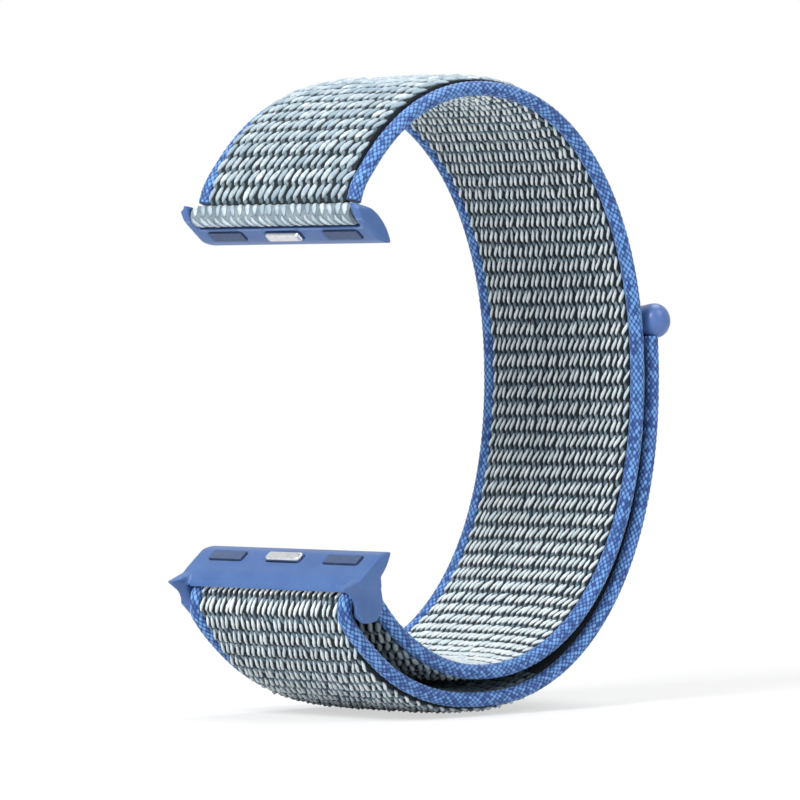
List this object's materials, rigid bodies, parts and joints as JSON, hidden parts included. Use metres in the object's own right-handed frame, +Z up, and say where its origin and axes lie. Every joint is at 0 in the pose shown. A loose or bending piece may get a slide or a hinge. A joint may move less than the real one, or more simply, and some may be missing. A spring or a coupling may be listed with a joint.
{
  "type": "hook and loop watch strap",
  "caption": "Woven watch strap closed into an oval loop: it folds back through a pivoting crossbar lug and fastens to itself with hook and loop, with a pull tab and spring-latched lugs.",
  "frame": {"origin": "centre of the closed strap's bounding box", "axes": "+X across the band, +Y from the lugs towards the back of the loop where the tail lies, +Z up, from the crossbar lug to the upper lug"},
  "size_m": [0.0248, 0.0526, 0.0654],
  "materials": {
    "weave": "open woven nylon, light steel blue over dark gaps",
    "lining": "napped loop lining",
    "cord": "braided edge, blue",
    "hook": "hook tape, dark",
    "plastic": "satin blue",
    "tab": "satin blue",
    "steel": "brushed",
    "rubber": "soft, dark blue"
  },
  "bodies": {
    "band_back": {"back_outer_weave": "weave", "back_inner_lining": "lining", "back_edge_cord_left": "cord", "back_edge_cord_right": "cord", "turn_weave": "weave", "turn_edge_cord_left": "cord", "turn_edge_cord_right": "cord", "tail_root_weave": "weave", "tail_root_edge_cord_left": "cord", "tail_root_edge_cord_right": "cord"},
    "band_crown": {"crown_outer_weave": "weave", "crown_inner_lining": "lining", "crown_edge_cord_left": "cord", "crown_edge_cord_right": "cord"},
    "band_front": {"front_outer_weave": "weave", "front_inner_lining": "lining", "front_edge_cord_left": "cord", "front_edge_cord_right": "cord", "anchor_sleeve": "weave", "anchor_seam": "weave"},
    "upper_lug": {"upper_lug_body": "plastic", "upper_pin": "steel", "upper_latch_spring": "steel", "upper_pad_left": "rubber", "upper_pad_right": "rubber"},
    "upper_latch": {"upper_latch_button": "steel"},
    "lower_lug": {"lower_lug_body": "plastic", "lower_crossbar": "steel", "lower_latch_spring": "steel", "lower_pad_left": "rubber", "lower_pad_right": "rubber"},
    "lower_latch": {"lower_latch_button": "steel"},
    "tail_1": {"tail_1_weave": "weave", "tail_1_hook_patch": "hook", "tail_1_edge_cord_left": "cord", "tail_1_edge_cord_right": "cord"},
    "tail_2": {"tail_2_weave": "weave", "tail_2_hook_patch": "hook", "tail_2_edge_cord_left": "cord", "tail_2_edge_cord_right": "cord"},
    "tail_3": {"tail_3_weave": "weave", "tail_3_hook_patch": "hook", "tail_3_edge_cord_left": "cord", "tail_3_edge_cord_right": "cord"},
    "tail_4": {"tail_4_weave": "weave", "tail_4_hook_patch": "hook", "tail_4_edge_cord_left": "cord", "tail_4_edge_cord_right": "cord", "tail_tab": "tab"}
  },
  "joints": [
    {"name": "crown_flex", "type": "hinge", "parent": "band_back", "child": "band_crown", "pos_m": [0, 0.02042, 0.01623], "axis": [-1, 0, 0], "range_deg": [0, 20]},
    {"name": "front_flex", "type": "hinge", "parent": "band_crown", "child": "band_front", "pos_m": [0, 0.00068, 0.03253], "axis": [-1, 0, 0], "range_deg": [0, 20]},
    {"name": "upper_lug_swivel", "type": "hinge", "parent": "band_front", "child": "upper_lug", "pos_m": [0, -0.02301, 0.01812], "axis": [1, 0, 0], "range_deg": [-25, 25]},
    {"name": "upper_latch_press", "type": "slide", "parent": "upper_lug", "child": "upper_latch", "axis": [0, 0.6115, 0.7912], "range_m": [0, 0.0004], "stiffness_N_per_m": 1500},
    {"name": "lower_lug_swivel", "type": "hinge", "parent": "band_back", "child": "lower_lug", "pos_m": [0, -0.02182, -0.0214], "axis": [1, 0, 0], "range_deg": [-25, 25]},
    {"name": "lower_latch_press", "type": "slide", "parent": "lower_lug", "child": "lower_latch", "axis": [0, 0.6115, -0.7912], "range_m": [0, 0.0004], "stiffness_N_per_m": 1500},
    {"name": "peel_1", "type": "hinge", "parent": "band_back", "child": "tail_1", "pos_m": [0, 0.00656, -0.03116], "axis": [-1, 0, 0], "range_deg": [0, 20]},
    {"name": "peel_2", "type": "hinge", "parent": "tail_1", "child": "tail_2", "pos_m": [0, 0.0159, -0.02511], "axis": [-1, 0, 0], "range_deg": [0, 20]},
    {"name": "peel_3", "type": "hinge", "parent": "tail_2", "child": "tail_3", "pos_m": [0, 0.02208, -0.01594], "axis": [-1, 0, 0], "range_deg": [0, 20]},
    {"name": "peel_4", "type": "hinge", "parent": "tail_3", "child": "tail_4", "pos_m": [0, 0.025, -0.00539], "axis": [-1, 0, 0], "range_deg": [0, 20]}
  ],
  "couplings": [
    {"joint": "front_flex", "follows": "crown_flex", "ratio": 1},
    {"joint": "peel_2", "follows": "peel_1", "ratio": 1},
    {"joint": "peel_3", "follows": "peel_1", "ratio": 1},
    {"joint": "peel_4", "follows": "peel_1", "ratio": 1}
  ]
}
